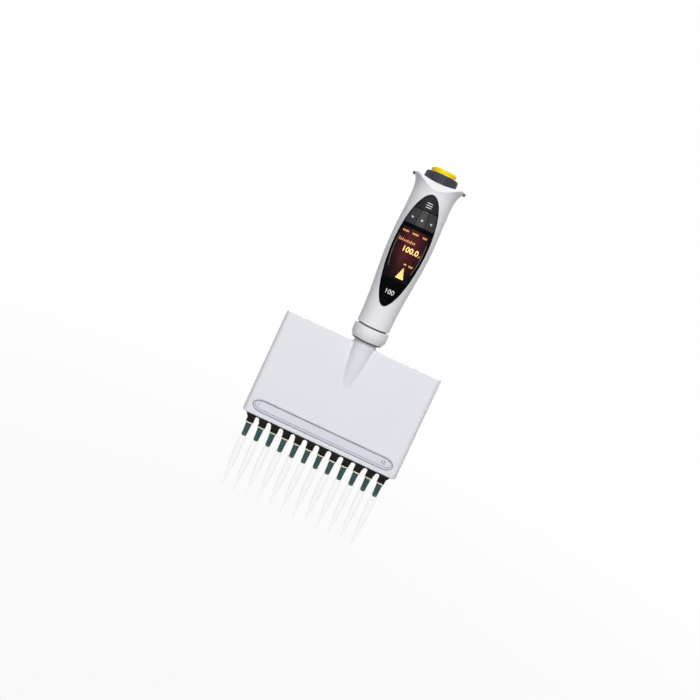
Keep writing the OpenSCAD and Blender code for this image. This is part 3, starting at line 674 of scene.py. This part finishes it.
# a line of type: its text, height of a capital, and centre x and z, in millimetres
def letters(name, text, height, x, z):
    deselect()
    bpy.ops.object.text_add(location=(x * mm, markSetup["front"], z * mm), rotation=(math.pi / 2, 0, 0))
    piece = bpy.context.object
    piece.name = name
    piece.data.body = text
    piece.data.align_x = "CENTER"
    piece.data.align_y = "CENTER"
    piece.data.size = height * mm / markSetup["capital"]
    piece.data.offset = height * mm * markSetup["bold"]
    piece.data.resolution_u = 3
    bpy.ops.object.convert(target="MESH")
    return bpy.context.object


# rectangles in one piece: each is centre x, centre z, width and height in millimetres, and a lean in degrees
def bars(name, boxes):
    made = []
    for x, z, width, height, *lean in boxes:
        deselect()
        bpy.ops.mesh.primitive_plane_add(size=1, location=(x * mm, markSetup["front"], z * mm),
                                         rotation=(math.pi / 2, math.radians(sum(lean)), 0))
        bar = bpy.context.object
        bar.scale = (width * mm, height * mm, 1)
        bpy.ops.object.transform_apply(location=True, rotation=True, scale=True)
        made.append(bar)
    piece = joined(made)
    piece.name = name
    return piece


# a triangle that points down
def triangle(name, x, z, width, height):
    deselect()
    bpy.ops.mesh.primitive_circle_add(vertices=3, radius=1, fill_type="NGON",
                                      location=(x * mm, markSetup["front"], z * mm),
                                      rotation=(math.pi / 2, math.pi, 0))
    piece = bpy.context.object
    piece.scale = (width * mm / math.sqrt(3), height * mm / 1.5, 1)
    piece.name = name
    return piece


# sizes in millimetres
displaySetup = {
    "labels": ((-8.2, 4), (-1.4, 4), (5.6, 3)),      # first block's x, number of blocks
    "labelLevel": -32.2,
    "labelPitch": 1.05,
    "labelBlock": (0.78, 1.15),
    "progressStart": -8.4,
    "progressPitch": 1.15,
    "progressWidth": 0.62,
    "progressHeights": (2.0, 1.3, 1.7, 1.2, 1.2, 1.7, 1.3, 1.7, 1.3, 1.6),
    "progressFoot": -38.85,
    "reading": ("100.0", 3.6, 1.4, -43.2),
    "unit": ("\u00b5l", 1.5, 8.0, -44.3),
    "icons": ((2.0, -52.3, 1.6, 1.1), (4.9, -52.5, 0.7, 1.3), (5.9, -52.5, 0.7, 1.3), (6.9, -52.5, 0.7, 1.3)),
    "cone": (2.2, -62.2, 5.4, 7.4),
    "coneRows": 6,
    "coneTip": 0.35,         # the part of a row by which its width falls short of the cone's foot
    "coneFill": 0.8,         # a row's height as a share of the step
    # side: points along the window's edges where the painted reflection streaks lie
    "side": ((9.55, -36.0), (9.75, -39.5), (9.8, -43.0), (9.65, -46.5), (9.3, -50.0), (8.7, -53.5),
             (7.9, -57.0)),
    "streakWidth": 0.32,
    "streakOverlap": 0.02,
}


def makeDisplay(setup):
    def show(piece, look, cuts=2):
        layOn(piece, "display_window", "handle", marks[look], cuts)

    width, height = setup["labelBlock"]
    blocks = [(start + i * setup["labelPitch"], setup["labelLevel"], width, height)
              for start, count in setup["labels"] for i in range(count)]
    show(bars("displayLabels", blocks), "soft", 1)
    progress = [(setup["progressStart"] + i * setup["progressPitch"], setup["progressFoot"] + high / 2,
                 setup["progressWidth"], high) for i, high in enumerate(setup["progressHeights"])]
    show(bars("displayProgress", progress), "soft", 1)
    show(letters("displayReading", *setup["reading"]), "amber")
    show(letters("displayUnit", *setup["unit"]), "soft")
    show(bars("displayIcons", setup["icons"]), "soft", 1)
    x, low, width, height = setup["cone"]
    step = height / setup["coneRows"]
    rows = [(x, low + step * (i + 0.5), width * (1 - (i + setup["coneTip"]) / setup["coneRows"]),
             step * setup["coneFill"]) for i in range(setup["coneRows"])]
    show(bars("displayCone", rows), "amber")
    # thin dim lit lines along both sides of the window: painted reflection of the lamps on the curved glossy
    # front
    lines = []
    for side in (-1, 1):
        for (x, z), (nextX, nextZ) in zip(setup["side"], setup["side"][1:]):
            lean = math.degrees(math.atan2(side * (x - nextX), z - nextZ))
            lines.append((side * (x + nextX) / 2, (z + nextZ) / 2, setup["streakWidth"],
                          math.hypot(x - nextX, z - nextZ) + setup["streakOverlap"], lean))
    show(bars("displayReflectionStreaks", lines), "paintedStreak", 3)


keySetup = {
    "softLevel": -22.6,
    "softMarks": (("left_key", "soft_key_left", -6.5), ("middle_key", "soft_key_middle", 0.1),
                  ("right_key", "soft_key_right", 6.6)),
    "softSize": (1.9, 1.4),
    "ejectLines": ((0.4, -10.75, 3.8, 0.44), (0.4, -12.2, 4.1, 0.44), (0.4, -13.65, 3.8, 0.44)),
}


def makeLegends(setup):
    for node, body, x in setup["softMarks"]:
        mark = triangle(node + "_mark", x, setup["softLevel"], *setup["softSize"])
        layOn(mark, keyCaps[node], body, marks["white"], 4)
    layOn(bars("eject_key_mark", setup["ejectLines"]), keyCaps["tip_eject_key"], "eject_key",
          marks["white"], 3)


printSetup = {
    "range": ("100", 3.2, 0.2, -72.6),
    "first": ("1", 1.9, -47.4, -177.5),
    "last": ("12", 2.4, 44.2, -177.5),
}


def makePrint(setup):
    layOn(letters("rangeFigure", *setup["range"]), "fascia_bezel", "handle", marks["white"])
    for name in ("first", "last"):
        figure = letters(name + "ChannelFigure", *setup[name])
        layOn(figure, numberPad, "lower_module", marks["grey"])


makeDisplay(displaySetup)
makeLegends(keySetup)
makePrint(printSetup)
print("display, legends and figures on")


# room: pale floor well under the hanging pipette, white surround and soft lamps

roomSetup = {
    "floorLevel": -430 * mm,
    "floorSize": 12.0,
    "floorWhite": 0.28,
    "floorTwin": 0.98,         # the second tone in the paper, as a share of the first
    "floorCloud": 3.0,
    "floorGloss": 0.9,
    "floorFade": (0.45, 1.3),  # metres from the pipette over which the floor turns to pure white
    "floorGlow": 0.93,         # how white it is seen next to the pipette
    "worldLight": 0.31,
    "worldSides": 1.0,         # how much weaker the surround is to the left and right
    "worldTop": 0.7,           # and overhead
    "lamps": (
        # name, place, size, watts
        ("keyLamp", (0.25, -1.7, 1.0), 0.9, 28),
        ("fillLamp", (-0.4, -1.7, 0.1), 1.0, 5.5),
        ("topLamp", (0.1, 0.2, 1.8), 1.0, 5),
        ("backLamp", (-0.2, 1.8, 0.8), 1.0, 20),
    ),
}


def seenDirectly(tree):
    path = tree.nodes.new("ShaderNodeLightPath").outputs
    rays = [Wire(tree, path[name]) for name in ("Is Camera Ray", "Is Glossy Ray", "Is Transmission Ray")]
    return rays[0].maths("MAXIMUM", rays[1].maths("MAXIMUM", rays[2]))


def makeFloor(setup):
    deselect()
    bpy.ops.mesh.primitive_plane_add(size=setup["floorSize"], location=(0, 0, setup["floorLevel"]))
    floor = bpy.context.object
    floor.name = "studioFloor"
    bpy.ops.object.transform_apply(location=True)
    material, tree, shader, place = newMaterial("floorPaper")
    white = setup["floorWhite"]
    twin = white * setup["floorTwin"]
    tone = place.noise(setup["floorCloud"]).blend((white, white, white, 1), (twin, twin, twin, 1))
    feed(tree, shader, {"Base Color": tone, "Roughness": setup["floorGloss"]})
    glow = place.node("ShaderNodeEmission", None, {"Color": (1, 1, 1, 1), "Strength": 1.0})
    near, away = setup["floorFade"]
    distance = place.node("ShaderNodeVectorMath", {"operation": "LENGTH"}, {0: place}, 1)
    fade = place.node("ShaderNodeMapRange", None,
                      {0: distance, 1: near, 2: away, 3: setup["floorGlow"], 4: 1.0})
    share = seenDirectly(tree) * fade
    lit = Wire(tree, shader.outputs[0])
    mixed = place.node("ShaderNodeMixShader", None, {0: share, 1: lit, 2: glow})
    tree.links.new(mixed.socket, tree.nodes["Material Output"].inputs["Surface"])
    floor.data.materials.append(material)


def makeWorld(setup):
    world = bpy.data.worlds.new("studio")
    world.use_nodes = True
    scene.world = world
    tree = world.node_tree
    seen = seenDirectly(tree)
    backdrop = tree.nodes["Background"]
    way = Wire(tree, tree.nodes.new("ShaderNodeTexCoord").outputs["Generated"])
    aside = way.node("ShaderNodeSeparateXYZ", None, {0: way})
    overhead = way.node("ShaderNodeSeparateXYZ", None, {0: way}, 2)
    sides = 1 - aside * aside * setup["worldSides"]
    top = 1 - overhead * overhead * setup["worldTop"]
    around = sides * top * setup["worldLight"]
    strength = around + seen * (1 - around)
    backdrop.inputs["Color"].default_value = (1, 1, 1, 1)
    tree.links.new(strength.socket, backdrop.inputs["Strength"])


def makeLamps(setup):
    target = Vector((0, 0, cameraSetup["aim"]))
    for name, spot, size, watts in setup["lamps"]:
        light = bpy.data.lights.new(name, "AREA")
        light.energy = watts
        light.size = size
        lamp = bpy.data.objects.new(name, light)
        lamp.location = spot
        lamp.rotation_euler = (target - Vector(spot)).to_track_quat("-Z", "Y").to_euler()
        scene.collection.objects.link(lamp)


makeFloor(roomSetup)
makeWorld(roomSetup)
makeLamps(roomSetup)
scene.view_settings.view_transform = "Standard"
print("room lit")
